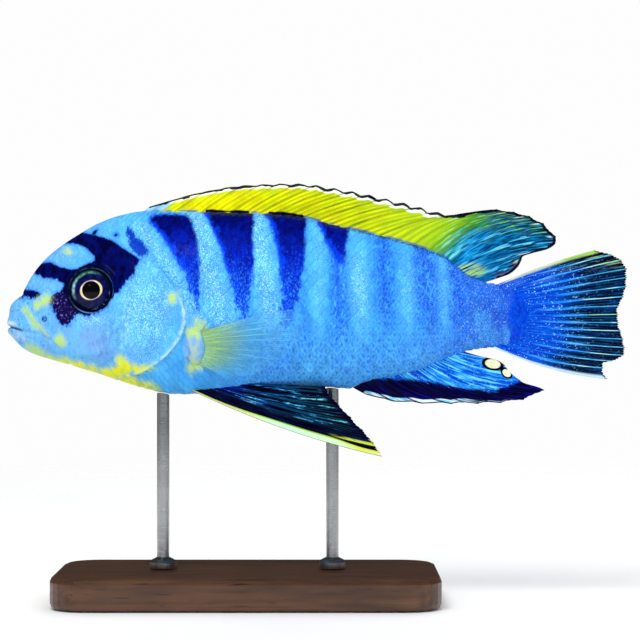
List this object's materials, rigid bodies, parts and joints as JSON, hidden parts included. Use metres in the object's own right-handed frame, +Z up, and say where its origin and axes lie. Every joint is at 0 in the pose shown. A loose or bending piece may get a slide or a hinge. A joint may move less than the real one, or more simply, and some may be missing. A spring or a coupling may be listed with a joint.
{
  "type": "hongi cichlid display model",
  "caption": "Life-size still model of a hongi cichlid with spread fins, held level over a plain rounded wooden base by slim steel rods.",
  "frame": {"origin": "on the surface that the stand's base rests on, midway along the fish", "axes": "+X towards the tail along the fish, +Z up, -Y out of the fish's left side"},
  "size_m": [0.1204, 0.038, 0.0808],
  "materials": {
    "fish_skin": "painted and varnished skin under fine scales, satin to glossy",
    "fish_eye": "polished eyeball with a pale gold ring round a black pupil",
    "dorsal_membrane": "ribbed fin membrane, painted yellow, satin",
    "fin_membrane": "ribbed fin membrane, painted blue and black, satin",
    "clear_membrane": "thin ribbed fin membrane, almost clear, satin",
    "base_wood": "dark stained board, satin lacquer",
    "rod_steel": "slim turned rods, fine brushed"
  },
  "bodies": {
    "root": {"head": "fish_skin", "upper_jaw": "fish_skin", "lower_jaw": "fish_skin", "gill_cover_left": "fish_skin", "gill_cover_right": "fish_skin", "trunk": "fish_skin", "tail_stalk": "fish_skin", "eye_left": "fish_eye", "eye_right": "fish_eye", "dorsal_fin": "dorsal_membrane", "anal_fin": "fin_membrane", "tail_fin": "fin_membrane", "pelvic_fin_left": "fin_membrane", "pelvic_fin_right": "fin_membrane", "pectoral_fin_left": "clear_membrane", "pectoral_fin_right": "clear_membrane", "stand_base": "base_wood", "stand_rod_front": "rod_steel", "stand_rod_rear": "rod_steel"}
  },
  "joints": []
}
